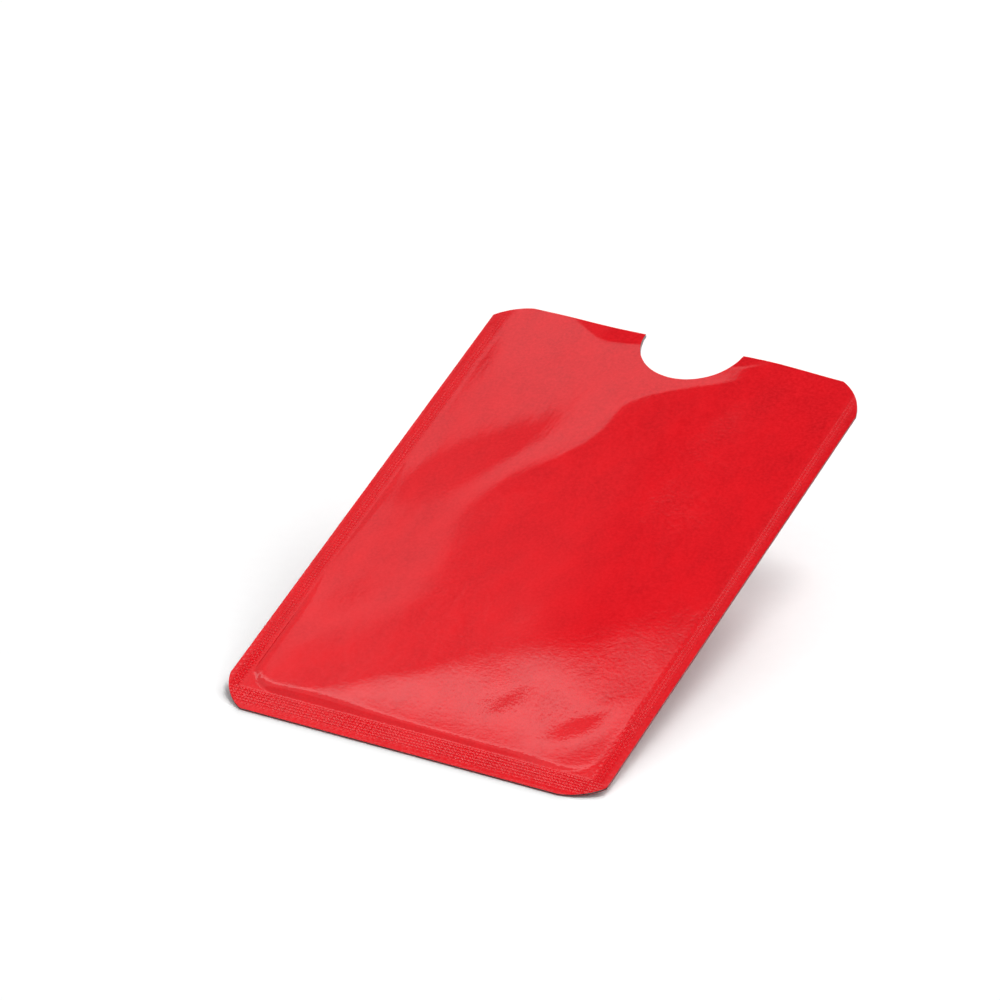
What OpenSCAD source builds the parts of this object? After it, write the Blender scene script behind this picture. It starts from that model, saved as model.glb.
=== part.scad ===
// Card sleeve that shields a contactless card from being read.
// Two panels of laminated film are welded along both sides and one end by a knurled jaw.
// The mouth is open and has a half-round thumb notch through both panels.
// X runs across the sleeve, Y from the sealed end to the mouth, Z out of the front panel.

/* [Sleeve] */
// Width across both side seals
sleeve_w = 61; // [56:0.5:80]
// Length from the sealed end to the mouth
sleeve_length = 90; // [80:0.5:120]

/* [Laminate] */
// Printed outer film
film_t = 0.08; // [0.06:0.01:0.15]
// Aluminium foil that shields the card
foil_t = 0.03; // [0.02:0.01:0.1]
// Sealing film on the inside
liner_t = 0.07; // [0.04:0.01:0.15]

/* [Seals] */
// Width of each side weld
side_seal_w = 2.9; // [2.8:0.1:5]
// Width of the weld across the closed end
end_seal_w = 4.2; // [4.1:0.1:8]

/* [Knurling] */
// Pitch of the square knurling
knurl_pitch = 0.52; // [0.45:0.01:0.53]
// Depth of the knurling, less than the outer film
knurl_depth = 0.05; // [0.02:0.01:0.05]
// Rows of points across a side weld
side_rows = 4; // [2:1:4]
// Rows of points across the end weld
end_rows = 6; // [3:1:6]
// Smooth rim between a side edge and its knurling
side_rim = 0.6; // [0.4:0.1:0.6]
// Smooth rim between the closed end and its knurling
end_rim = 0.9; // [0.5:0.1:0.9]

/* [Thumb notch] */
// Radius of the half-round notch
notch_r = 8; // [5:0.5:12]
// How far the notch sits to the right of the middle
notch_x = 1.4; // [-3:0.1:3]

/* [Corners] */
// Radius of the corner cutter
corner_r = 9.5; // [6:0.1:14]
// Closed end, left: cut along the end
low_left_end = 4.8; // [2:0.1:6]
// Closed end, left: cut along the side
low_left_side = 5.9; // [2:0.1:7]
// Closed end, right: cut along the end
low_right_end = 6; // [2:0.1:7]
// Closed end, right: cut along the side
low_right_side = 3.3; // [2:0.1:7]
// Mouth, left: cut along the mouth
high_left_end = 5.2; // [2:0.1:7]
// Mouth, left: cut along the side
high_left_side = 3.2; // [2:0.1:7]
// Mouth, right: cut along the mouth
high_right_end = 4.9; // [2:0.1:7]
// Mouth, right: cut along the side
high_right_side = 6.3; // [2:0.1:7]

/* [Front panel form] */
// How far the front panel stands off the back one at its highest
crown_h = 0.8; // [0.3:0.1:3]
// Width of the slope next to each side weld
side_slope_w = 1.2; // [0.6:0.1:3]
// Width of the slope next to the end weld
end_slope_w = 1.8; // [0.6:0.1:3]
// Radius of the pocket's corners at the closed end
pocket_corner_r = 5; // [2:0.5:9]
// Width of the strip that droops along the mouth
mouth_droop_w = 3.2; // [0:0.2:5]
// Cells of the film surface across the pocket
cells_across = 18; // [10:1:24]
// Cells of the film surface along the pocket
cells_along = 24; // [14:1:32]

/* [Hidden] */
$fn = 96;

// Spare length that carries each cut past the sleeve
overrun = 1;
// How far a raised layer laps onto its flat border, less than the smooth strip there
border_lap = 0.1;
// Depth of the film under the knurling that joins its fields, as a share of what is left there
web_share = 0.5;

// The pocket between the welds, with y measured from the middle of the sleeve
pocket_x = sleeve_w / 2 - side_seal_w;
pocket_low = -sleeve_length / 2 + end_seal_w;
pocket_high = sleeve_length / 2;
pocket_length = pocket_high - pocket_low;

// Heights of the layer faces along the welds, from the table up
back_foil_z = film_t;
back_liner_z = back_foil_z + foil_t;
pocket_z = back_liner_z + liner_t;
front_foil_z = pocket_z + liner_t;
front_film_z = front_foil_z + foil_t;
top_z = front_film_z + film_t;

// The front panel's form. A ramp row is where the ramp starts along the pocket, how far it
// reaches and how much it adds. Places are shares of the pocket, heights are in units of
// which form_peak make the crown's height.
form_peak = 0.8;
// Crest of the left flank: its share of the pocket's width
crest_shares = [[-1, 1, 0.05], [0.04, 0.3, 0.21], [0.49, 0.28, 0.19], [0.8, 0.3, 0.62]];
// Height of the left flank at its crest
flank_shares = [[-1, 1, 0.03], [0.05, 0.35, 0.12], [0.3, 0.6, 0.49]];
// Where the crest turns from round to sharp, over what reach, how far the flank below the
// sharp crest arches, and the bead along it
fold_share = 0.56;
fold_reach_share = 0.19;
arch_share = 0.5;
bead_share = 0.04;
bead_power = 11;
// Decline beyond the crest
decline_share = 0.12;
decline_reach_share = 0.62;
// Step up from the left weld: its height at the left and right, the reach it starts from and
// the share of the crest's place that it adds, and where it fills out at the closed end
step_left_share = 0.29;
step_right_share = 0.04;
step_near_share = 0.13;
step_crest_share = 0.75;
fill_share = 0.85;
fill_start_share = 0.1;
fill_reach_share = 0.2;
// How the step fades towards the mouth
fade_share = 0.7;
fade_start_share = 0.3;
fade_reach_share = 0.5;
// Bottom flank: its least length, its growth across the pocket and where that starts, its
// rise for its length and what that gains across the pocket, and where it comes up
toe_min_share = 0.03;
toe_growth_share = 0.52;
toe_start_share = 0.14;
toe_rise_share = 1.02;
toe_gain_share = 0.2;
toe_reach_share = 0.3;
// Fall towards the right weld near the mouth
fall_share = 0.42;
fall_start_share = 0.4;
// Drooping strip along the mouth: its slope and bend, the waves in its width, and its ends
droop_slope = 0.08;
droop_bend = 0.5;
droop_wave_share = 0.2;
droop_waves = 2.7;
droop_phase = 197;
droop_start_share = 0.1;
droop_left_share = 0.2;
droop_fade_share = 0.6;
droop_right_share = 0.27;
// Easing down to the right weld: its reach, by how much and from where that gathers towards
// the mouth, and where near the closed end it meets the weld at its steepest
ease_reach_share = 0.42;
ease_gather_share = 0.11;
ease_start_share = 0.7;
steep_start_share = 0.2;
steep_reach_share = 0.4;
// Share of the height that a short slope takes next to the right weld at the closed end
slope_share = 0.1;
slope_start_share = 0.05;
slope_reach_share = 0.2;
// Length scale of each slope, as a share of its stated width
left_scale_share = 1 / 3;
right_scale_share = 0.25;
end_scale_share = 0.28;
end_power = 1.5;
// Places where the end slope is wider: place and half-width across the pocket, by how much
end_bulge_shares = [[0.21, 0.163, 0.17], [0.826, 0.09, 0.055]];
// Heights over which the pocket's rounded corners run out up the sides, in corner radii
left_corner_shares = [0.4, 1.6];
right_corner_shares = [1.6, 2.8];
// Dents and ridges: place across and along, half-length along their own axis and half-widths
// to its left and right as shares of the pocket's width, turn in degrees, height
dent_shares = [
    [0.23, 0.595, 0.34, 0.105, 0.18, 51, 0.19],
    [0.895, 0.14, 0.13, 0.25, 0.062, 50, 0.28],
    [0.655, 0.122, 0.08, 0.1, 0.04, 72, 0.05],
    [0.41, 0.105, 0.07, 0.06, 0.06, 0, 0.018],
    [0.27, 0.8, 0.12, 0.07, 0.07, 80, -0.03],
    [0.04, 0.86, 0.1, 0.05, 0.05, 90, 0.02],
    [0.78, 0.3, 0.2, 0.12, 0.16, 20, 0.05],
];

function smooth(u) = let (v = max(0, min(1, u))) v * v * (3 - 2 * v);
function total(values) = values * [for (value = values) 1];
function ramps(v, rows) = total([for (row = rows) row[2] * smooth((v - row[0]) / row[1])]);
function bulge(offset) = exp(-pow(offset, 2));

// Height of the front panel over the back one, from its separate forms
function left_flank(u, v) =
    let (
        crest = ramps(v, crest_shares),
        run = min(1, u / crest),
        sharp = smooth((v - fold_share) / fold_reach_share),
        arch = run * (1 + arch_share * (1 - run)),
        rise = (1 - sharp) * smooth(run) + sharp * arch,
        flank = ramps(v, flank_shares) * rise + bead_share * sharp * pow(run, bead_power)
    )
    flank * (1 - decline_share * smooth((u - crest) / decline_reach_share));
function left_step(u, v) =
    let (
        near = smooth(u / (step_near_share + step_crest_share * ramps(v, crest_shares))),
        fill = fill_share * (1 - smooth((v - fill_start_share) / fill_reach_share)),
        rise = near + fill * (1 - near),
        fade = 1 - fade_share * smooth((v - fade_start_share) / fade_reach_share)
    )
    rise * fade * (step_left_share + (step_right_share - step_left_share) * u);
function end_flank(u, v) =
    let (toe = norm([toe_min_share, toe_growth_share * max(0, u - toe_start_share)]))
    (toe_rise_share + toe_gain_share * u) * toe * smooth(v / toe) * smooth(u / toe_reach_share);
function mouth_fall(u, v) =
    fall_share * u * smooth((v - fall_start_share) / (1 - fall_start_share));
function mouth_droop(u, y) =
    let (
        wave = 1 + droop_wave_share * sin(360 * droop_waves * u + droop_phase),
        left = smooth((u - droop_start_share) / droop_left_share),
        right = 1 - smooth((u - droop_fade_share) / droop_right_share),
        past = max(0, y - pocket_high + mouth_droop_w * wave * left * right)
    )
    droop_slope * (norm([past, droop_bend]) - droop_bend);
function dents(x, y) =
    total([
        for (row = dent_shares)
            let (
                dx = (x + pocket_x) / (2 * pocket_x) - row[0],
                dy = (y - pocket_low - row[1] * pocket_length) / (2 * pocket_x),
                p = dx * cos(row[5]) + dy * sin(row[5]),
                q = dy * cos(row[5]) - dx * sin(row[5])
            )
            row[6] * bulge(norm([p / row[2], q / (q > 0 ? row[3] : row[4])]))
    ]);
function side_ease(x, u, v) =
    let (
        gather = smooth((v - ease_start_share) / (1 - ease_start_share)),
        near = min(1, (1 - u) / (ease_reach_share - ease_gather_share * gather)),
        steep = 1 - smooth((v - steep_start_share) / steep_reach_share),
        ease = (1 - steep) * smooth(near) + steep * near * (2 - near),
        slope = slope_share * (1 - smooth((v - slope_start_share) / slope_reach_share)),
        from_left = max(0, x + pocket_x) / (left_scale_share * side_slope_w),
        from_right = max(0, pocket_x - x) / (right_scale_share * side_slope_w)
    )
    (1 - exp(-from_left)) * ((1 - slope) * ease + slope * (1 - exp(-from_right)));
function end_ease(x, y, u) =
    let (
        r = pocket_corner_r,
        up = max(0, y - pocket_low),
        left = max(0, x + pocket_x)
            + r * smooth((up / r - left_corner_shares[0]) / left_corner_shares[1]),
        right = max(0, pocket_x - x)
            + r * smooth((up / r - right_corner_shares[0]) / right_corner_shares[1]),
        inside = max(0, r - norm([max(0, r - up), max(0, r - min(left, right))])),
        wider = total([for (row = end_bulge_shares) row[2] * bulge((u - row[0]) / row[1])])
    )
    1 - exp(-pow(inside / (end_slope_w * (end_scale_share + wider)), end_power));
function panel_h(x, y) =
    let (
        u = max(0, min(1, (x + pocket_x) / (2 * pocket_x))),
        v = max(0, min(1, (y - pocket_low) / pocket_length)),
        flanks = left_flank(u, v) + left_step(u, v) + end_flank(u, v) - mouth_fall(u, v),
        form = max(0, flanks + dents(x, y) - mouth_droop(u, y))
    )
    crown_h / form_peak * side_ease(x, u, v) * end_ease(x, y, u) * form;

// Stations of the film surface: two on each slope, the rest evenly between, and one past
// each weld where the layer laps onto it
function stations(low, high, low_slope, high_slope, cells) =
    let (
        inner_low = low + low_slope,
        inner_high = high - high_slope,
        low_side = low_slope > 0 ? [low, low + low_slope / 2] : [],
        high_side = high_slope > 0 ? [high - high_slope / 2, high] : [],
        inner = cells - len(low_side) - len(high_side)
    )
    concat(
        low_side,
        [for (i = [0:inner]) inner_low + (inner_high - inner_low) * i / inner],
        high_side
    );
across_pocket = stations(-pocket_x, pocket_x, side_slope_w, side_slope_w, cells_across);
along_pocket = stations(pocket_low, pocket_high, end_slope_w, 0, cells_along);

// One layer of the front panel over the pocket, bounded by two like surfaces. A lap carries
// it onto the welds, to make one piece with the flat part of its layer.
module raised_sheet(z, thickness, lap) {
    across = lap > 0 ? concat(-pocket_x - lap, across_pocket, pocket_x + lap) : across_pocket;
    along = lap > 0 ? concat(pocket_low - lap, along_pocket) : along_pocket;
    nx = len(across);
    ny = len(along);
    function at(i, j, side) = (side * ny + j) * nx + i;
    points = [
        for (side = [0, 1], j = [0:ny - 1], i = [0:nx - 1])
            [across[i], along[j], z + side * thickness + panel_h(across[i], along[j])]
    ];
    cells = [
        for (j = [0:ny - 2], i = [0:nx - 2])
            each [
                [at(i, j, 0), at(i + 1, j, 0), at(i + 1, j + 1, 0)],
                [at(i, j, 0), at(i + 1, j + 1, 0), at(i, j + 1, 0)],
                [at(i, j, 1), at(i + 1, j + 1, 1), at(i + 1, j, 1)],
                [at(i, j, 1), at(i, j + 1, 1), at(i + 1, j + 1, 1)],
            ]
    ];
    ends = [
        for (i = [0:nx - 2])
            each [
                [at(i, 0, 0), at(i, 0, 1), at(i + 1, 0, 1)],
                [at(i, 0, 0), at(i + 1, 0, 1), at(i + 1, 0, 0)],
                [at(i, ny - 1, 0), at(i + 1, ny - 1, 1), at(i, ny - 1, 1)],
                [at(i, ny - 1, 0), at(i + 1, ny - 1, 0), at(i + 1, ny - 1, 1)],
            ]
    ];
    sides = [
        for (j = [0:ny - 2])
            each [
                [at(0, j, 0), at(0, j + 1, 1), at(0, j, 1)],
                [at(0, j, 0), at(0, j + 1, 0), at(0, j + 1, 1)],
                [at(nx - 1, j, 0), at(nx - 1, j, 1), at(nx - 1, j + 1, 1)],
                [at(nx - 1, j, 0), at(nx - 1, j + 1, 1), at(nx - 1, j + 1, 0)],
            ]
    ];
    difference() {
        polyhedron(points, concat(cells, ends, sides));
        translate([0, 0, -overrun])
            linear_extrude(top_z + 2 * crown_h + 2 * overrun)
                mouth_cuts();
    }
}

// What one corner loses: the part past an arc that meets the end and the side at an angle
module corner_cut(end_leg, side_leg) {
    half_chord = norm([end_leg, side_leg]) / 2;
    reach = sqrt(pow(corner_r, 2) - pow(half_chord, 2)) / (2 * half_chord);
    centre = [end_leg, side_leg] / 2 + reach * [side_leg, end_leg];
    difference() {
        translate([-overrun, -overrun])
            square(centre + [overrun, overrun]);
        translate(centre)
            circle(r = corner_r);
    }
}

module mouth_cuts() {
    translate([notch_x, sleeve_length / 2])
        circle(r = notch_r);
    translate([-sleeve_w / 2, sleeve_length / 2])
        mirror([0, 1])
            corner_cut(high_left_end, high_left_side);
    translate([sleeve_w / 2, sleeve_length / 2])
        mirror([1, 0])
            mirror([0, 1])
                corner_cut(high_right_end, high_right_side);
}

module end_cuts() {
    translate([-sleeve_w / 2, -sleeve_length / 2])
        corner_cut(low_left_end, low_left_side);
    translate([sleeve_w / 2, -sleeve_length / 2])
        mirror([1, 0])
            corner_cut(low_right_end, low_right_side);
}

// Outline that the die cuts through the whole sleeve
module sleeve_outline() {
    difference() {
        square([sleeve_w, sleeve_length], center = true);
        mouth_cuts();
        end_cuts();
    }
}

module pocket_area() {
    translate([-pocket_x, pocket_low])
        square([2 * pocket_x, pocket_length + overrun]);
}

// Knurled fields of the welds. Their pitch is fitted to the whole width of the end weld, and
// to the length left of the side welds, which they fill up to the mouth.
end_field_w = sleeve_w - 2 * side_rim;
end_cols = round(end_field_w / knurl_pitch);
end_pitch = end_field_w / end_cols;
end_field_y = -sleeve_length / 2 + end_rim;
side_field_y = end_field_y + end_rows * knurl_pitch;
side_field_l = sleeve_length / 2 - side_field_y;
side_cols = round(side_field_l / knurl_pitch);
side_pitch = side_field_l / side_cols;

module knurl_areas() {
    translate([-end_field_w / 2, end_field_y])
        square([end_field_w, end_rows * knurl_pitch]);
    for (side = [0, 1])
        mirror([side, 0])
            translate([-sleeve_w / 2 + side_rim, side_field_y])
                square([side_rows * end_pitch, side_field_l + overrun]);
}

// Saw-tooth section of one knurling direction
function teeth(count, pitch) = concat(
    [[0, 0]],
    [
        for (i = [0:count - 1])
            each [
                [i * pitch, film_t - knurl_depth],
                [(i + 1 / 2) * pitch, film_t],
            ]
    ],
    [[count * pitch, film_t - knurl_depth], [count * pitch, 0]]
);

// A field of square points: where the teeth of both directions stand together
module knurl_field(cols, col_pitch, rows, row_pitch) {
    intersection() {
        rotate([90, 0, 90])
            linear_extrude(cols * col_pitch)
                polygon(teeth(rows, row_pitch));
        translate([0, rows * row_pitch, 0])
            rotate([90, 0, 0])
                linear_extrude(rows * row_pitch)
                    polygon(teeth(cols, col_pitch));
    }
}

module knurl_fields() {
    translate([-end_field_w / 2, end_field_y, 0])
        knurl_field(end_cols, end_pitch, end_rows, knurl_pitch);
    for (side = [0, 1])
        mirror([side, 0, 0])
            translate([-sleeve_w / 2 + side_rim, side_field_y, 0])
                knurl_field(side_rows, end_pitch, side_cols, side_pitch);
}

// A flat layer in the sleeve's whole outline
module flat_layer(z, thickness) {
    translate([0, 0, z])
        linear_extrude(thickness)
            sleeve_outline();
}

// A flat layer round the pocket only, along the welds
module weld_margin(z, thickness) {
    translate([0, 0, z])
        linear_extrude(thickness)
            difference() {
                sleeve_outline();
                pocket_area();
            }
}

// Film of one weld, melted together from both liners
module weld_strip(x, y, w, l) {
    translate([0, 0, back_liner_z])
        linear_extrude(2 * liner_t)
            intersection() {
                sleeve_outline();
                translate([x, y])
                    square([w, l]);
            }
}

module front_film() {
    color([0.84, 0.11, 0.14]) {
        raised_sheet(front_film_z, film_t, border_lap);
        translate([0, 0, front_film_z]) {
            linear_extrude(web_share * (film_t - knurl_depth))
                difference() {
                    sleeve_outline();
                    pocket_area();
                }
            linear_extrude(film_t)
                difference() {
                    sleeve_outline();
                    pocket_area();
                    knurl_areas();
                }
            intersection() {
                knurl_fields();
                linear_extrude(film_t)
                    sleeve_outline();
            }
        }
    }
}

module front_foil() {
    color([0.75, 0.76, 0.78]) {
        raised_sheet(front_foil_z, foil_t, border_lap);
        weld_margin(front_foil_z, foil_t);
    }
}

module front_liner() {
    color([0.9, 0.9, 0.88])
        raised_sheet(pocket_z, liner_t, 0);
}

module back_liner() {
    color([0.9, 0.9, 0.88])
        translate([0, 0, back_liner_z])
            linear_extrude(liner_t)
                intersection() {
                    sleeve_outline();
                    pocket_area();
                }
}

module back_foil() {
    color([0.75, 0.76, 0.78])
        flat_layer(back_foil_z, foil_t);
}

module back_film() {
    color([0.84, 0.11, 0.14])
        flat_layer(0, film_t);
}

module left_seal() {
    color([0.8, 0.8, 0.78])
        weld_strip(-sleeve_w / 2, pocket_low, side_seal_w, pocket_length);
}

module right_seal() {
    color([0.8, 0.8, 0.78])
        weld_strip(pocket_x, pocket_low, side_seal_w, pocket_length);
}

module bottom_seal() {
    color([0.8, 0.8, 0.78])
        weld_strip(-sleeve_w / 2, -sleeve_length / 2, sleeve_w, end_seal_w);
}

front_film();
front_foil();
front_liner();
back_liner();
back_foil();
back_film();
left_seal();
right_seal();
bottom_seal();
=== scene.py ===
"""Dressed scene of the shielding card sleeve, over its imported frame.

Sizes are in millimetres in the part's own frame and become metres where a mesh is made.
"""
import math

import bpy
import numpy as np
from mathutils import Matrix, Vector


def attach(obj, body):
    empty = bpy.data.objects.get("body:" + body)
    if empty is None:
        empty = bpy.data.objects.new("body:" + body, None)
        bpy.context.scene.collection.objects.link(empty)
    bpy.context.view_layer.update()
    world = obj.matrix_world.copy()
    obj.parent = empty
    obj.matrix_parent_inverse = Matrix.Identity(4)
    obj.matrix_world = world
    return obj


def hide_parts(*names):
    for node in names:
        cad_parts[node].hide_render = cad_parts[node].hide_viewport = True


MM = 0.001

# Sleeve, as in the part's source
SLEEVE_W, SLEEVE_L = 61, 90
FILM_T, FOIL_T, LINER_T = 0.08, 0.03, 0.07
SIDE_SEAL_W, END_SEAL_W = 2.9, 4.2
POCKET_X = SLEEVE_W / 2 - SIDE_SEAL_W
POCKET_LOW = -SLEEVE_L / 2 + END_SEAL_W
POCKET_HIGH = SLEEVE_L / 2
POCKET_W, POCKET_L = 2 * POCKET_X, POCKET_HIGH - POCKET_LOW
POCKET_Z = FILM_T + FOIL_T + LINER_T
FRONT_FOIL_Z = POCKET_Z + LINER_T
FRONT_FILM_Z = FRONT_FOIL_Z + FOIL_T
TOP_Z = FRONT_FILM_Z + FILM_T

# Notch and corner cuts: (side across, side along, leg along the end, leg along the side)
NOTCH_R, NOTCH_X = 8, 1.4
CORNER_R = 9.5
CORNERS = [(-1, -1, 4.8, 5.9), (1, -1, 6, 3.3), (-1, 1, 5.2, 3.2), (1, 1, 4.9, 6.3)]

# Knurling: GROOVE is half a groove's width as a share of the pitch, DOME the rise of a point's
# top, FIELD_EDGE the width over which a field begins
KNURL_PITCH, KNURL_DEPTH = 0.52, 0.035
GROOVE, DOME = 0.15, 0.004
SIDE_RIM, END_RIM, FIELD_EDGE = 0.6, 0.9, 0.15
SIDE_ROWS, END_ROWS = 4, 6
FIELD_X = -SLEEVE_W / 2 + SIDE_RIM
FIELD_Y = -SLEEVE_L / 2 + END_RIM
FIELD_INNER_Y = FIELD_Y + END_ROWS * KNURL_PITCH
SIDE_COUNT = round((SLEEVE_L / 2 - FIELD_INNER_Y) / KNURL_PITCH)
SIDE_PITCH = (SLEEVE_L / 2 - FIELD_INNER_Y) / SIDE_COUNT
# How hard the jaw bit: the mean, how much it varies, and what it loses towards the mouth.
# It varies in waves: (radians per millimetre, phase)
BITE, BITE_SWING, BITE_LOSS, BITE_LOSS_REACH = 0.72, 0.2, 0.5, 45
BITE_WAVE_X, BITE_WAVE_Y = (0.35, 1.3), (0.22, 0.4)

# Form of the front panel, as in the part's source: places are shares of the pocket.
# Rows of ramps: (start, reach, rise)
CREST = [(-1, 1, 0.05), (0.04, 0.3, 0.21), (0.49, 0.28, 0.19), (0.8, 0.3, 0.62)]
FLANK = [(-1, 1, 0.03), (0.05, 0.35, 0.12), (0.3, 0.6, 0.49)]
FOLD, FOLD_REACH, ARCH, BEAD, BEAD_POWER = 0.56, 0.19, 0.5, 0.04, 11
DECLINE, DECLINE_REACH = 0.12, 0.62
STEP_LEFT, STEP_RIGHT, STEP_NEAR, STEP_CREST = 0.29, 0.04, 0.13, 0.75
FILL, FILL_START, FILL_REACH = 0.85, 0.1, 0.2
FADE, FADE_START, FADE_REACH = 0.7, 0.3, 0.5
TOE_MIN, TOE_GROWTH, TOE_START, TOE_RISE, TOE_GAIN, TOE_REACH = 0.03, 0.52, 0.14, 1.02, 0.2, 0.3
FALL, FALL_START = 0.42, 0.4
DROOP_W, DROOP_SLOPE, DROOP_BEND = 3.2, 0.08, 0.5
DROOP_WAVE, DROOP_WAVES, DROOP_PHASE = 0.2, 2.7, 197
DROOP_START, DROOP_LEFT, DROOP_FADE, DROOP_RIGHT = 0.1, 0.2, 0.6, 0.27
EASE_REACH, EASE_GATHER, EASE_START = 0.42, 0.11, 0.7
STEEP_START, STEEP_REACH = 0.2, 0.4
SLOPE, SLOPE_START, SLOPE_REACH = 0.1, 0.05, 0.2
LEFT_SCALE, RIGHT_SCALE = 0.4, 0.3
END_SLOPE_W, END_SCALE, END_POWER = 1.8, 0.28, 1.5
# Places where the slope into the end weld is wider: (across, half width, more)
END_BULGES = [(0.21, 0.163, 0.17), (0.826, 0.09, 0.055)]
# Pocket corners: (start, reach) along the side, as shares of the radius
POCKET_CORNER_R, LEFT_CORNER, RIGHT_CORNER = 5, (0.4, 1.6), (1.6, 2.8)
# (across, along, half length, half width to the left, to the right, turn, rise)
DENTS = [
    (0.23, 0.595, 0.34, 0.105, 0.18, 51, 0.19),
    (0.895, 0.14, 0.13, 0.25, 0.062, 50, 0.28),
    (0.655, 0.122, 0.08, 0.1, 0.04, 72, 0.05),
    (0.41, 0.105, 0.07, 0.06, 0.06, 0, 0.018),
    (0.27, 0.8, 0.12, 0.07, 0.07, 80, -0.03),
    (0.04, 0.86, 0.1, 0.05, 0.05, 90, 0.02),
    (0.78, 0.3, 0.2, 0.12, 0.16, 20, 0.05),
]

# Camera, from the photograph's corners; it sees from CLIP_NEAR to CLIP_FAR, in metres
AIM = (-10.85, 6.0, 0)
CAMERA_AZIMUTH, CAMERA_ELEVATION, CAMERA_ROLL = 34.22, 41.51, -10.2
CAMERA_DISTANCE, FOCAL_LENGTH, SENSOR_W = 958, 240, 36
CLIP_NEAR, CLIP_FAR = 0.01, 50

# Meshes: pocket grid steps, and a finer step over a stretch at its left, right and closed end
POCKET_STEP_X, POCKET_STEP_Y, FINE_STEP = 0.5, 0.54, 0.14
FINE_LEFT, FINE_RIGHT, FINE_END = 1.4, 2.1, 2.8
SIDE_RIM_STATIONS, END_RIM_STATIONS = np.array([0, 0.05, 0.3]), np.array([0, 0.05, 0.45])
# ON_OUTLINE: how far outside the outline a point still counts as inside. HALVINGS: how often
# an edge is halved to find where the outline cuts it. STEP_OUT: a short step, to test what
# lies beside an edge. EVEN_T: how much the thickness may vary over a smooth face.
ON_OUTLINE, HALVINGS, STEP_OUT, EVEN_T = 1e-7, 24, 0.01, 1e-4

# Film's ink, darker and lighter (mixed at random, plus painted light), its flecks, and the
# painted shade of the knurling's grooves
FILM_DARK, FILM_LIGHT = (0.525, 0.0045, 0.009, 1), (0.84, 0.006, 0.0115, 1)
FILM_FLECK, FILM_GROOVE_SHADE = (0.80, 0.016, 0.024, 1), (0.65, 0.004, 0.009, 1)

# Floor: it is level in front of the sleeve and falls away beneath it, getting steeper as far
# as BEND_END, and is level again past FALL_END. The camera sees it lifted to white, by
# LEVEL_LIFT in front and FALL_LIFT where it falls, with the change within LIFT_REACH of the
# closed end.
FLOOR_SLOPE, FLOOR_BEND, BEND_END, FALL_END, FLOOR_HALF = 0.343, 0.00032, 150, 360, 4000
BEND_STATIONS = 16
LEVEL_LIFT, FALL_LIFT, LIFT_REACH = 0.09, 0.012, 20
# How light the floor and the room are to all but the camera
FLOOR_THROWN, ROOM_LEVEL = 0.38, 0.06

# Lamps over and round the sleeve: name, direction, distance and size in metres, radiance
PLAIN_LAMPS = [
    ("key", (0.34, 0.35, 0.93), 2.0, (0.656, 0.656), 13.8),
    ("over_box", (0.15, -0.35, 0.92), 3.0, (2.6, 2.0), 1.26),
    ("right_box", (0.8, 0.25, 0.55), 3.0, (2.4, 2.0), 1.29),
    ("front_box", (-0.5, -0.75, 0.45), 3.0, (2.4, 2.0), 1.16),
    ("back_box", (0.246, 0.9, 0.504), 3.0, (2.4, 1.4), 5.0),
]

# Directions in which the soft boxes that the film mirrors are placed, about square to each
# other and to the one that the flat sleeve mirrors, and the boxes' distance in metres
BEHIND, ASIDE = Vector((-0.7509, -0.646, 0.134)), Vector((-0.511, 0.4398, -0.7385))
BOX_DISTANCE = 8


def smooth(t):
    """Ease from 0 to 1 as t goes from 0 to 1."""
    t = np.clip(t, 0, 1)
    return t * t * (3 - 2 * t)


def ramps(v, rows):
    """Sum of the smooth ramps of some rows."""
    return sum(rise * smooth((v - start) / reach) for start, reach, rise in rows)


def dents(x, y):
    """Soft dents and small rises, each about a line of its own."""
    height = 0
    for across, along, half_l, left_w, right_w, turn, rise in DENTS:
        dx = (x + POCKET_X) / POCKET_W - across
        dy = (y - POCKET_LOW - along * POCKET_L) / POCKET_W
        c, s = math.cos(math.radians(turn)), math.sin(math.radians(turn))
        p, q = dx * c + dy * s, dy * c - dx * s
        half_w = np.where(q > 0, left_w, right_w)
        height = height + rise * np.exp(-((p / half_l) ** 2) - (q / half_w) ** 2)
    return height


def left_flank(u, v):
    """Rise from the left weld to the crest, and the slow decline past it."""
    crest = ramps(v, CREST)
    run = np.clip(u / crest, 0, 1)
    sharp = smooth((v - FOLD) / FOLD_REACH)
    arch = run * (1 + ARCH * (1 - run))
    profile = (1 - sharp) * smooth(run) + sharp * arch
    flank = ramps(v, FLANK) * profile + BEAD * sharp * run**BEAD_POWER
    return flank * (1 - DECLINE * smooth((u - crest) / DECLINE_REACH))


def left_step(u, v):
    """Step up beside the left weld, which fades to the right and towards the mouth."""
    near = smooth(u / (STEP_NEAR + STEP_CREST * ramps(v, CREST)))
    rise = near + FILL * (1 - smooth((v - FILL_START) / FILL_REACH)) * (1 - near)
    fade = 1 - FADE * smooth((v - FADE_START) / FADE_REACH)
    return rise * fade * (STEP_LEFT + (STEP_RIGHT - STEP_LEFT) * u)


def end_flank(u, v):
    """Rise from the end weld over a toe that gets longer to the right."""
    toe = np.hypot(TOE_MIN, TOE_GROWTH * np.maximum(0, u - TOE_START))
    return (TOE_RISE + TOE_GAIN * u) * toe * smooth(v / toe) * smooth(u / TOE_REACH)


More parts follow.
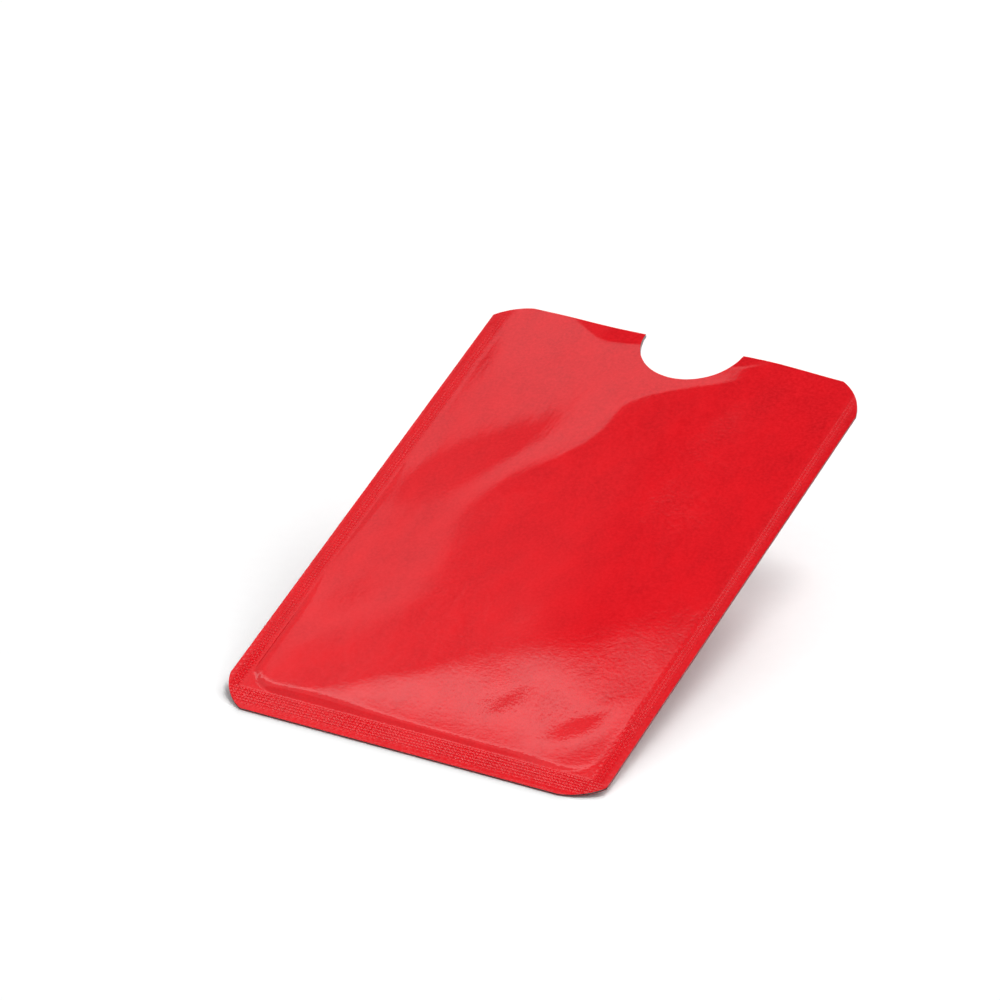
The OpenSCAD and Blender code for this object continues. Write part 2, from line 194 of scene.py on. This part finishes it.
def mouth_droop(u, y):
    """How far the panel droops towards its free edge at the mouth."""
    wave = 1 + DROOP_WAVE * np.sin(2 * np.pi * DROOP_WAVES * u + math.radians(DROOP_PHASE))
    ends = smooth((u - DROOP_START) / DROOP_LEFT) * (1 - smooth((u - DROOP_FADE) / DROOP_RIGHT))
    past = np.maximum(0, y - POCKET_HIGH + DROOP_W * wave * ends)
    return DROOP_SLOPE * (np.hypot(past, DROOP_BEND) - DROOP_BEND)


def side_ease(x, u, v):
    """Share of the full height, which eases to 0 at the side welds."""
    gather = smooth((v - EASE_START) / (1 - EASE_START))
    near = np.clip((1 - u) / (EASE_REACH - EASE_GATHER * gather), 0, 1)
    steep = 1 - smooth((v - STEEP_START) / STEEP_REACH)
    ease = (1 - steep) * smooth(near) + steep * near * (2 - near)
    slope = SLOPE * (1 - smooth((v - SLOPE_START) / SLOPE_REACH))
    from_left, from_right = np.clip(x + POCKET_X, 0, None), np.clip(POCKET_X - x, 0, None)
    right = (1 - slope) * ease + slope * (1 - np.exp(-from_right / RIGHT_SCALE))
    return (1 - np.exp(-from_left / LEFT_SCALE)) * right


def end_ease(x, y, u):
    """Share of the full height, which eases to 0 at the end weld and the pocket's corners."""
    r, up = POCKET_CORNER_R, np.clip(y - POCKET_LOW, 0, None)
    left, right = (
        np.clip(gap, 0, None) + r * smooth((up / r - start) / reach)
        for gap, (start, reach) in ((x + POCKET_X, LEFT_CORNER), (POCKET_X - x, RIGHT_CORNER))
    )
    short, narrow = np.maximum(0, r - up), np.maximum(0, r - np.minimum(left, right))
    inside = np.maximum(0, r - np.hypot(short, narrow))
    wider = sum(more * np.exp(-(((u - across) / half) ** 2)) for across, half, more in END_BULGES)
    return 1 - np.exp(-((inside / (END_SLOPE_W * (END_SCALE + wider))) ** END_POWER))


def panel_h(x, y):
    """Height of the front panel over the back one."""
    u = np.clip((x + POCKET_X) / POCKET_W, 0, 1)
    v = np.clip((y - POCKET_LOW) / POCKET_L, 0, 1)
    fall = FALL * u * smooth((v - FALL_START) / (1 - FALL_START))
    flanks = left_flank(u, v) + left_step(u, v) + end_flank(u, v) - fall
    form = np.maximum(0, flanks + dents(x, y) - mouth_droop(u, y))
    return side_ease(x, u, v) * end_ease(x, y, u) * form


def knurl_pit(x, y):
    """Depth that the knurled jaw pressed the film of the welds down by."""
    columns = (x - FIELD_X) / KNURL_PITCH
    side_rows = END_ROWS + (y - FIELD_INNER_Y) / SIDE_PITCH
    rows = np.where(y > FIELD_INNER_Y, side_rows, (y - FIELD_Y) / KNURL_PITCH)
    off_x, off_y = (np.abs(k - np.round(k)) for k in (columns, rows))
    groove = np.maximum(0, 1 - np.minimum(off_x, off_y) / GROOVE)
    hollow = DOME * (1 - 2 * off_y)
    from_rim = SLEEVE_W / 2 - SIDE_RIM - np.abs(x)
    side = np.minimum(np.minimum(SIDE_ROWS * KNURL_PITCH - from_rim, from_rim), y - FIELD_Y)
    end = np.minimum(np.minimum(FIELD_INNER_Y - y, y - FIELD_Y), from_rim)
    field = smooth(np.maximum(side, end) / FIELD_EDGE)
    (turns_x, phase_x), (turns_y, phase_y) = BITE_WAVE_X, BITE_WAVE_Y
    bite = BITE + BITE_SWING * np.sin(turns_x * x + phase_x) * np.sin(turns_y * y + phase_y)
    bite = bite * (1 - BITE_LOSS * smooth((y - FIELD_INNER_Y) / BITE_LOSS_REACH))
    return field * (KNURL_DEPTH * bite * groove + hollow)


def outline(x, y):
    """How far inside the die-cut outline a point is, roughly; 0 on the outline."""
    inside = np.hypot(x - NOTCH_X, y - SLEEVE_L / 2) - NOTCH_R
    for side_x, side_y, end_leg, side_leg in CORNERS:
        half = math.hypot(end_leg, side_leg) / 2
        reach = math.sqrt(CORNER_R**2 - half**2) / (2 * half)
        cx = SLEEVE_W / 2 - end_leg / 2 - reach * side_leg
        cy = SLEEVE_L / 2 - side_leg / 2 - reach * end_leg
        past_x, past_y = np.maximum(0, x * side_x - cx), np.maximum(0, y * side_y - cy)
        inside = np.minimum(inside, CORNER_R - np.hypot(past_x, past_y))
    inside = np.minimum(inside, SLEEVE_W / 2 - np.abs(x))
    return np.minimum(inside, SLEEVE_L / 2 - np.abs(y))


def clipped_grid(xs, ys):
    """Points and triangles of the grid inside the outline, cut exactly along it."""
    nx, ny = len(xs), len(ys)
    gx, gy = (a.ravel() for a in np.meshgrid(xs, ys))
    inside = outline(gx, gy) > -ON_OUTLINE
    j, i = np.divmod(np.arange((nx - 1) * (ny - 1)), nx - 1)
    a = j * nx + i
    b, c, d = a + 1, a + nx + 1, a + nx
    even = ((i + j) % 2 == 0)[:, None]
    first = np.where(even, np.c_[a, b, c], np.c_[a, b, d])
    second = np.where(even, np.c_[a, c, d], np.c_[b, c, d])
    tris = np.vstack([first, second])
    count = inside[tris].sum(1)
    points = np.c_[gx, gy]
    kept = [tris[count == 3]]
    cut = tris[(count == 1) | (count == 2)]
    if len(cut):
        edges = np.vstack([cut[:, [0, 1]], cut[:, [1, 2]], cut[:, [2, 0]]])
        edges = edges[inside[edges[:, 0]] != inside[edges[:, 1]]]
        edges = np.unique(np.sort(edges, 1), axis=0)
        held = np.where(inside[edges[:, :1]], edges[:, :1], edges[:, 1:])[:, 0]
        lost = edges.sum(1) - held
        near, far = points[held], points[lost]
        for _ in range(HALVINGS):
            mid = (near + far) / 2
            is_in = (outline(mid[:, 0], mid[:, 1]) > 0)[:, None]
            near, far = np.where(is_in, mid, near), np.where(is_in, far, mid)
        crossing = {tuple(e): len(points) + k for k, e in enumerate(edges)}
        points = np.vstack([points, near])
        extra = []
        for tri in cut:
            ring = []
            for p, q in zip(tri, np.roll(tri, -1)):
                if inside[p]:
                    ring.append(p)
                if inside[p] != inside[q]:
                    ring.append(crossing[(min(p, q), max(p, q))])
            extra += [(ring[0], ring[k], ring[k + 1]) for k in range(1, len(ring) - 1)]
        kept.append(np.array(extra))
    tris = np.vstack(kept)
    used, tris = np.unique(tris, return_inverse=True)
    return points[used], tris.reshape(-1, 3)


def graded(low, high, step, fine_low=0, fine_high=0):
    """Stations from low to high, set closer over a stretch at either end."""
    stretches = (
        (low, low + fine_low, fine_low / FINE_STEP),
        (low + fine_low, high - fine_high, (high - low - fine_low - fine_high) / step),
        (high - fine_high, high, fine_high / FINE_STEP),
    )
    parts = [np.linspace(start, end, round(count) + 1) for start, end, count in stretches]
    return np.unique(np.round(np.concatenate(parts), 6))


def knurled(start, pitch, count, middle=()):
    """Stations of the knurling: each groove, and the edges and any middle of each point's top."""
    shares = [k + share for k in range(count) for share in (0, GROOVE, *middle, 1 - GROOVE)]
    return start + pitch * np.array(shares + [count])


def mark(piece, name, values):
    """Keep one value for each point of a piece, for its material."""
    layer = piece.data.attributes.new(name, "FLOAT", "POINT")
    layer.data.foreach_set("value", np.asarray(values, np.float32))


def mesh_object(name, points, tris, shade):
    """Object of triangles between points in millimetres, each shaded smooth or flat."""
    mesh = bpy.data.meshes.new(name)
    mesh.vertices.add(len(points))
    mesh.vertices.foreach_set("co", (np.asarray(points) * MM).astype(np.float32).ravel())
    mesh.loops.add(3 * len(tris))
    mesh.loops.foreach_set("vertex_index", np.asarray(tris, np.int32).ravel())
    mesh.polygons.add(len(tris))
    mesh.polygons.foreach_set("loop_start", np.arange(0, 3 * len(tris), 3, dtype=np.int32))
    mesh.polygons.foreach_set("use_smooth", np.asarray(shade, bool))
    mesh.update(calc_edges=True)
    mesh.validate()
    piece = bpy.data.objects.new(name, mesh)
    bpy.context.scene.collection.objects.link(piece)
    return piece


def layer(name, patches, bottom, top):
    """A closed sheet between two surfaces, walled along the outline only."""
    points, tris, shade, count = [], [], [], 0
    for flat, faces in patches:
        x, y = flat[:, 0], flat[:, 1]
        n = len(flat)
        upper, lower = np.c_[flat, top(x, y)], np.c_[flat, bottom(x, y)]
        edges = np.vstack([faces[:, [0, 1]], faces[:, [1, 2]], faces[:, [2, 0]]])
        pairs = {tuple(e) for e in edges}
        rim = np.array([e for e in edges if (e[1], e[0]) not in pairs])
        run = flat[rim[:, 1]] - flat[rim[:, 0]]
        out = np.c_[run[:, 1], -run[:, 0]] / np.maximum(np.hypot(*run.T), 1e-9)[:, None]
        # a patch is walled only where a step out of it leaves the sleeve
        test = flat[rim].mean(1) + STEP_OUT * out
        rim = rim[outline(test[:, 0], test[:, 1]) < 0]
        a, b = rim[:, 0], rim[:, 1]
        wall_top, wall_low = np.arange(2 * n, 3 * n), np.arange(3 * n, 4 * n)
        walls = np.vstack([
            np.c_[wall_low[a], wall_low[b], wall_top[b]],
            np.c_[wall_low[a], wall_top[b], wall_top[a]],
        ])
        used = np.unique(walls)
        renumber = np.zeros(4 * n, int)
        renumber[used] = 2 * n + np.arange(len(used))
        points += [upper, lower, np.vstack([upper, lower])[used - 2 * n]]
        tris += [faces + count, faces[:, ::-1] + n + count, renumber[walls] + count]
        # faces over which the knurling changes the thickness are shaded flat
        crisp = np.ptp(np.asarray(top(x, y) - bottom(x, y))[faces], axis=1) > EVEN_T
        shade += [~crisp, np.ones(len(faces)), np.ones(len(walls))]
        count += 2 * n + len(used)
    return mesh_object(name, np.vstack(points), np.vstack(tris), np.concatenate(shade))


class Nodes:
    """Short hand for a material's or a lamp's node tree."""

    def __init__(self, tree):
        self.tree = tree
        tree.nodes.clear()

    def add(self, kind, inputs=None, **settings):
        """New node; its inputs take values or other nodes' sockets."""
        node = self.tree.nodes.new(kind)
        for key, value in settings.items():
            setattr(node, key, value)
        for key, value in (inputs or {}).items():
            if isinstance(value, bpy.types.NodeSocket):
                self.tree.links.new(value, node.inputs[key])
            else:
                node.inputs[key].default_value = value
        return node

    def math(self, operation, a, b=0.0):
        return self.add("ShaderNodeMath", {0: a, 1: b}, operation=operation).outputs[0]

    def noise(self, place, scale, detail=2.0, roughness=0.5):
        return self.add(
            "ShaderNodeTexNoise",
            {"Vector": place, "Scale": scale, "Detail": detail, "Roughness": roughness},
        ).outputs["Fac"]

    def mix(self, share, a, b):
        """Colour a where share is 0, b where it is 1."""
        node = self.add("ShaderNodeMix", data_type="RGBA")
        for index, value in ((0, share), (6, a), (7, b)):
            socket = node.inputs[index]
            if isinstance(value, bpy.types.NodeSocket):
                self.tree.links.new(value, socket)
            else:
                socket.default_value = value
        return node.outputs[2]

    def span(self, value, low, high, to_low=0.0, to_high=1.0):
        """Value mapped from low..high and held at either end."""
        ends = {"From Min": low, "From Max": high, "To Min": to_low, "To Max": to_high}
        return self.add("ShaderNodeMapRange", {"Value": value, **ends}).outputs[0]

    def spread(self, noise, to_low=0.0, to_high=1.0):
        """Noise mapped from the range that it usually keeps to."""
        return self.span(noise, 0.3, 0.7, to_low, to_high)

    def place(self, scale=(1, 1, 1), turn=0.0):
        """The part's own coordinates in millimetres."""
        coords = self.add("ShaderNodeTexCoord").outputs["Object"]
        size, rotation = [s / MM for s in scale], (0, 0, math.radians(turn))
        mapping = {"Vector": coords, "Scale": size, "Rotation": rotation}
        return self.add("ShaderNodeMapping", mapping).outputs[0]


def new_material(name):
    material = bpy.data.materials.new(name)
    material.use_nodes = True
    return material, Nodes(material.node_tree)


def finish_material(nodes, inputs):
    shader = nodes.add("ShaderNodeBsdfPrincipled", inputs)
    nodes.add("ShaderNodeOutputMaterial", {"Surface": shader.outputs[0]})


def bump(nodes, height, depth, normal=None):
    """Relief whose height runs from 0 to 1 over a depth in millimetres."""
    inputs = {"Height": height, "Distance": depth * MM, "Strength": 1.0}
    if normal is not None:
        inputs["Normal"] = normal
    return nodes.add("ShaderNodeBump", inputs).outputs[0]


def printed_film(name):
    """Red gloss film: printed ink under a clear coat, with grain, mottle and fine scuffs."""
    material, nodes = new_material(name)
    grain = nodes.noise(nodes.place(), 2.2, 2.0, 0.6)
    pebble = nodes.noise(nodes.place((1, 1.4, 1), -20), 1.1, 2.0, 0.6)
    mottle = nodes.noise(nodes.place((1, 0.6, 1), 25), 0.28, 3.0, 0.55)
    scuffs = nodes.noise(nodes.place((2.2, 0.14, 2.2), -35), 1.0, 3.0, 0.65)
    # painted light: the red is painted lighter towards the closed end and the left, as if more
    # light fell there
    along = nodes.add("ShaderNodeSeparateXYZ", {0: nodes.place((0.4, 0.9, 1))}).outputs
    painted_light_gradient = nodes.span(nodes.math("ADD", along["X"], along["Y"]), -50, 50, 0.45, 0)
    # the share adds the ink's own random mottle to the painted light gradient
    tint = nodes.math("ADD", nodes.spread(mottle, 0, 0.35), painted_light_gradient)
    colour = nodes.mix(tint, FILM_DARK, FILM_LIGHT)
    colour = nodes.mix(nodes.spread(grain, 0, 0.5), colour, FILM_FLECK)
    # painted shade: where the jaw pressed deepest, in the knurling's grooves, the red is painted
    # darker
    pressed = nodes.add("ShaderNodeAttribute", attribute_name="pressed").outputs["Fac"]
    colour = nodes.mix(pressed, colour, FILM_GROOVE_SHADE)
    normal = None
    for relief, depth in ((grain, 0.005), (pebble, 0.003), (mottle, 0.014), (scuffs, 0.003)):
        normal = bump(nodes, relief, depth, normal)
    finish_material(
        nodes,
        {
            "Base Color": colour,
            "Roughness": nodes.spread(pebble, 0.42, 0.5),
            "Specular IOR Level": 0.0,
            "Coat Weight": 1.0,
            "Coat Roughness": 0.03,
            "Coat IOR": 1.5,
            "Normal": normal,
            "Coat Normal": normal,
        },
    )
    return material


def rolled_foil(name):
    """Bright aluminium foil with fine rolling lines."""
    material, nodes = new_material(name)
    lines = nodes.noise(nodes.place((12, 0.6, 12)), 1.0, 2.0)
    shade = nodes.mix(nodes.spread(lines), (0.42, 0.43, 0.45, 1), (0.55, 0.56, 0.58, 1))
    finish_material(
        nodes,
        {
            "Base Color": shade,
            "Metallic": 1.0,
            "Roughness": nodes.spread(lines, 0.28, 0.4),
            "Normal": bump(nodes, lines, 0.002),
        },
    )
    return material


def sealing_film(name):
    """Clear inner film over the foil, which shows through it as a satin grey."""
    material, nodes = new_material(name)
    cloud = nodes.noise(nodes.place(), 0.8, 3.0)
    shade = nodes.mix(nodes.spread(cloud), (0.42, 0.43, 0.44, 1), (0.5, 0.51, 0.52, 1))
    finish_material(
        nodes,
        {
            "Base Color": shade,
            "Metallic": 0.7,
            "Roughness": nodes.spread(cloud, 0.3, 0.42),
            "Coat Weight": 0.6,
            "Coat Roughness": 0.12,
            "Normal": bump(nodes, cloud, 0.01),
        },
    )
    return material


def melted_weld(name):
    """Inner films melted together: cloudy plastic, painted near black so that the cut edges show
    a dark line of painted shade.
    """
    material, nodes = new_material(name)
    cloud = nodes.noise(nodes.place(), 1.5, 3.0)
    # near black: painted shade along the cut edges, over the cloud's own faint variation
    shade = nodes.mix(nodes.spread(cloud), (0.025, 0.026, 0.024, 1), (0.045, 0.046, 0.043, 1))
    finish_material(
        nodes,
        {
            "Base Color": shade,
            "Roughness": nodes.spread(cloud, 0.35, 0.5),
            "Normal": bump(nodes, cloud, 0.01),
        },
    )
    return material


def pale_floor(name):
    """White card, lifted to white for the camera.

    It throws less light back on the sleeve, so that the red underside doesn't tint the shadow.
    """
    material, nodes = new_material(name)
    fibres = nodes.noise(nodes.place(), 0.5, 3.0)
    shade = nodes.mix(fibres, (0.86, 0.86, 0.86, 1), (0.88, 0.88, 0.88, 1))
    seen = nodes.add("ShaderNodeLightPath").outputs["Is Camera Ray"]
    shade = nodes.mix(seen, (FLOOR_THROWN,) * 3 + (1,), shade)
    along = nodes.add("ShaderNodeSeparateXYZ", {0: nodes.place()}).outputs["Y"]
    start, end = -SLEEVE_L / 2 - LIFT_REACH, -SLEEVE_L / 2 + LIFT_REACH
    lift = nodes.span(along, start, end, LEVEL_LIFT, FALL_LIFT)
    finish_material(
        nodes,
        {
            "Base Color": shade,
            "Roughness": 0.9,
            "Specular IOR Level": 0.0,
            "Emission Color": (1, 1, 1, 1),
            "Emission Strength": nodes.math("MULTIPLY", seen, lift),
        },
    )
    return material


def aim_matrix(place, target, up):
    """Matrix of an object at place whose -Z looks at target."""
    back = (place - target).normalized()
    right = up.cross(back).normalized()
    turn = Matrix((right, back.cross(right), back)).transposed()
    return Matrix.Translation(place) @ turn.to_4x4()


def lamp(name, toward, distance, size, radiance, up=(0, 0, 1), rise=None, far=1.0, along=()):
    """Area lamp in a direction from the sleeve.

    Its face may brighten over the first share of its height and fade to another level at the
    far edge. Along its width it may follow spans of (from, to, first level, last level).
    """
    light = bpy.data.lights.new(name, "AREA")
    light.shape = "RECTANGLE"
    light.size, light.size_y = size
    light.energy = radiance * math.pi * size[0] * size[1]
    lamp_object = bpy.data.objects.new(name, light)
    toward = Vector(toward).normalized()
    lamp_object.matrix_world = aim_matrix(toward * distance, Vector(), Vector(up))
    lamp_object.visible_camera = False
    bpy.context.scene.collection.objects.link(lamp_object)
    if rise is not None:
        light.use_nodes = True
        nodes = Nodes(light.node_tree)
        face = nodes.add("ShaderNodeNewGeometry").outputs["Parametric"]
        sideways, upward = nodes.add("ShaderNodeSeparateXYZ", {0: face}).outputs[:2]
        rising, fading = nodes.span(upward, 0, rise), nodes.span(upward, rise, 1, 1, far)
        level = nodes.math("MULTIPLY", rising, fading)
        for stretch in along:
            level = nodes.math("MULTIPLY", level, nodes.span(sideways, *stretch))
        glow = nodes.add("ShaderNodeEmission", {"Strength": level})
        nodes.add("ShaderNodeOutputLight", {"Surface": glow.outputs[0]})


def mirrored_box(name, turn, low, high, radiance, aside=(-0.5, 0.5), **glow):
    """Soft box that the sleeve mirrors, from low to high along an axis.

    The axis turns from BEHIND towards ASIDE.
    """
    axis = BEHIND * math.cos(math.radians(turn)) + ASIDE * math.sin(math.radians(turn))
    toward = mirrored + axis * (low + high) / 2 + ASIDE * sum(aside) / 2
    size = ((aside[1] - aside[0]) * BOX_DISTANCE, (high - low) * BOX_DISTANCE)
    lamp(name, toward, BOX_DISTANCE, size, radiance, up=axis, **glow)


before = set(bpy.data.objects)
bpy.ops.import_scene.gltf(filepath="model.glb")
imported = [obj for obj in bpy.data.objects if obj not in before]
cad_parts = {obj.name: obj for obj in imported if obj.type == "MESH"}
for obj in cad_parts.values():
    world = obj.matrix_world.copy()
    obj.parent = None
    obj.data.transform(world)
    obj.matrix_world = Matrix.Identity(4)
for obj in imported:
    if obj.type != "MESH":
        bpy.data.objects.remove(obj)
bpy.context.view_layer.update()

camera_data = bpy.data.cameras.new("camera")
camera_data.sensor_width, camera_data.lens = SENSOR_W, FOCAL_LENGTH
camera_data.clip_start, camera_data.clip_end = CLIP_NEAR, CLIP_FAR
camera = bpy.data.objects.new("camera", camera_data)
azimuth, elevation = math.radians(CAMERA_AZIMUTH), math.radians(CAMERA_ELEVATION)
roll = Matrix.Rotation(math.radians(CAMERA_ROLL), 4, "Z")
level, rise = math.cos(elevation), math.sin(elevation)
back = Vector((math.sin(azimuth) * level, -math.cos(azimuth) * level, rise))
target = Vector(AIM) * MM
eye = target + back * CAMERA_DISTANCE * MM
camera.matrix_world = aim_matrix(eye, target, Vector((0, 0, 1))) @ roll
bpy.context.scene.collection.objects.link(camera)
bpy.context.scene.camera = camera

# Direction that the flat sleeve's middle mirrors to the camera
mirrored = Vector((-eye.x, -eye.y, eye.z)).normalized()

# Grids: the pocket, and the welds round it
pocket_xs = graded(-POCKET_X, POCKET_X, POCKET_STEP_X, FINE_LEFT, FINE_RIGHT)
pocket_ys = graded(POCKET_LOW, POCKET_HIGH, POCKET_STEP_Y, FINE_END)
left_xs = np.concatenate([
    -SLEEVE_W / 2 + SIDE_RIM_STATIONS,
    knurled(FIELD_X, KNURL_PITCH, SIDE_ROWS),
    [-POCKET_X],
])
end_ys = np.concatenate([
    -SLEEVE_L / 2 + END_RIM_STATIONS,
    knurled(FIELD_Y, KNURL_PITCH, END_ROWS, [0.5]),
])
side_ys = np.concatenate([end_ys[:-1], knurled(FIELD_INNER_Y, SIDE_PITCH, SIDE_COUNT)])
columns = knurled(FIELD_X, KNURL_PITCH, math.ceil((SLEEVE_W - 2 * SIDE_RIM) / KNURL_PITCH))
columns = columns[np.abs(columns) < POCKET_X - STEP_OUT]
bottom_xs = np.concatenate([[-POCKET_X], columns, [POCKET_X]])
bottom_ys = np.concatenate([end_ys, [POCKET_LOW]])
pocket = clipped_grid(pocket_xs, pocket_ys)
welds = [
    clipped_grid(left_xs, side_ys),
    clipped_grid(-left_xs[::-1], side_ys),
    clipped_grid(bottom_xs, bottom_ys),
]

film = layer(
    "front_panel_film",
    [pocket] + welds,
    lambda x, y: FRONT_FILM_Z + panel_h(x, y),
    lambda x, y: TOP_Z + panel_h(x, y) - knurl_pit(x, y),
)
foil = layer(
    "front_panel_foil",
    [pocket] + welds,
    lambda x, y: FRONT_FOIL_Z + panel_h(x, y),
    lambda x, y: FRONT_FILM_Z + panel_h(x, y),
)
liner = layer(
    "front_panel_liner",
    [pocket],
    lambda x, y: POCKET_Z + panel_h(x, y),
    lambda x, y: FRONT_FOIL_Z + panel_h(x, y),
)

finishes = {
    "printed_film": printed_film("printed film"),
    "shield_foil": rolled_foil("shield foil"),
    "sealing_film": sealing_film("sealing film"),
    "weld": melted_weld("weld"),
}
xyz = np.empty(3 * len(film.data.vertices), np.float32)
film.data.vertices.foreach_get("co", xyz)
film_x, film_y = xyz.reshape(-1, 3)[:, :2].T / MM
# how deep the jaw pressed, as a share of the knurl's depth; the film's material paints the
# grooves darker with it, as painted shade
mark(film, "pressed", knurl_pit(film_x, film_y) / KNURL_DEPTH)

for piece, node, slot in (
    (film, "front_film", "printed_film"),
    (foil, "front_foil", "shield_foil"),
    (liner, "front_liner", "sealing_film"),
):
    piece.data.materials.append(finishes[slot])
    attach(piece, "root")
    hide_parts(node)
for node, slot in (
    ("back_film", "printed_film"),
    ("back_foil", "shield_foil"),
    ("back_liner", "sealing_film"),
    ("left_seal", "weld"),
    ("right_seal", "weld"),
    ("bottom_seal", "weld"),
):
    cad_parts[node].material_slots[0].material = finishes[slot]

# Stage: the floor touches the sleeve at its closed end, as its shadow in the photograph shows
down = np.concatenate([np.linspace(0, BEND_END, BEND_STATIONS), [FALL_END]])
bent = np.minimum(down, BEND_END)
floor_ys = np.concatenate([[-FLOOR_HALF], down - SLEEVE_L / 2, [FLOOR_HALF]])
floor_zs = -FLOOR_SLOPE * down - FLOOR_BEND * bent * (2 * down - bent)
floor_zs = np.concatenate([[0], floor_zs, floor_zs[-1:]])
n = len(floor_ys)
floor_points = [(x, y, z) for x in (-FLOOR_HALF, FLOOR_HALF) for y, z in zip(floor_ys, floor_zs)]
floor_tris = [t for k in range(n - 1) for t in ((k, n + k, n + k + 1), (k, n + k + 1, k + 1))]
floor = mesh_object("floor", floor_points, floor_tris, np.zeros(len(floor_tris)))
floor.data.materials.append(pale_floor("pale floor"))

world = bpy.data.worlds.new("studio")
world.use_nodes = True
bpy.context.scene.world = world
nodes = Nodes(world.node_tree)
seen = nodes.add("ShaderNodeLightPath").outputs["Is Camera Ray"]
room = nodes.mix(seen, (ROOM_LEVEL,) * 3 + (1,), (1, 1, 1, 1))
backdrop = nodes.add("ShaderNodeBackground", {"Color": room, "Strength": 1.0})
nodes.add("ShaderNodeOutputWorld", {"Surface": backdrop.outputs[0]})

# Two long soft boxes that the film mirrors, each brightening from one edge, and the dim walls
# behind them
side_spans = [(0.43, 0.54, 0.1, 1.0), (0.61, 0.65, 1.0, 0.1)]
mirrored_box("side_box", 55.8, 0.014, 0.085, 0.92, rise=0.36, far=0.7, along=side_spans)
mirrored_box("top_box", -65, 0.036, 0.0965, 1.55, rise=0.55, along=[(0.395, 0.42, 0.0, 1.0)])
mirrored_box("top_wall", -65, 0.038, 0.6, 0.18, rise=0.08, far=2.2)
mirrored_box("wall", 0, -0.035, 0.5, 0.33, rise=0.2, aside=(-0.2, 0.5))
for row in PLAIN_LAMPS:
    lamp(*row)

bpy.context.scene.view_settings.view_transform = "Standard"
